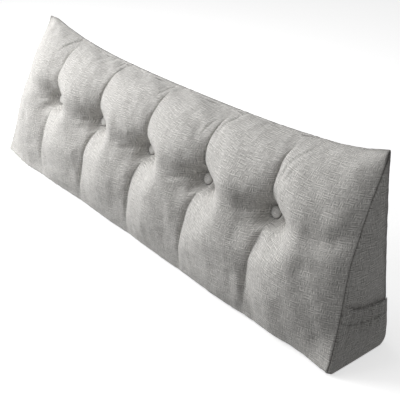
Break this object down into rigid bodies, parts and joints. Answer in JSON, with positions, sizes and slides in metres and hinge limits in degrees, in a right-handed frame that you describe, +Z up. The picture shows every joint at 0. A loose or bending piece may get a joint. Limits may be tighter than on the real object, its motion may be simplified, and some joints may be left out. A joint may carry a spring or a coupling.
{
  "type": "backrest pillow",
  "caption": "Wedge-shaped cloth backrest pillow with a flat base, deep-buttoned front, raised end corners and an open pocket on its right end.",
  "frame": {"origin": "on the surface that the pillow stands on, at the middle of its flat base, under the middle button", "axes": "+X along the length towards the end with the pocket, +Y towards the back, +Z up; the tufted front faces -Y"},
  "size_m": [1.5553, 0.2458, 0.4832],
  "materials": {
    "cover_cloth": "matt linen-look slub weave, light warm grey",
    "pocket_cloth": "matt linen-look slub weave, light warm grey, gathered at an elastic casing",
    "button_cloth": "the same cloth stretched over a domed button"
  },
  "bodies": {
    "root": {"cushion": "cover_cloth", "side_pocket": "pocket_cloth", "button_1": "button_cloth", "button_2": "button_cloth", "button_3": "button_cloth", "button_4": "button_cloth", "button_5": "button_cloth"}
  },
  "joints": []
}
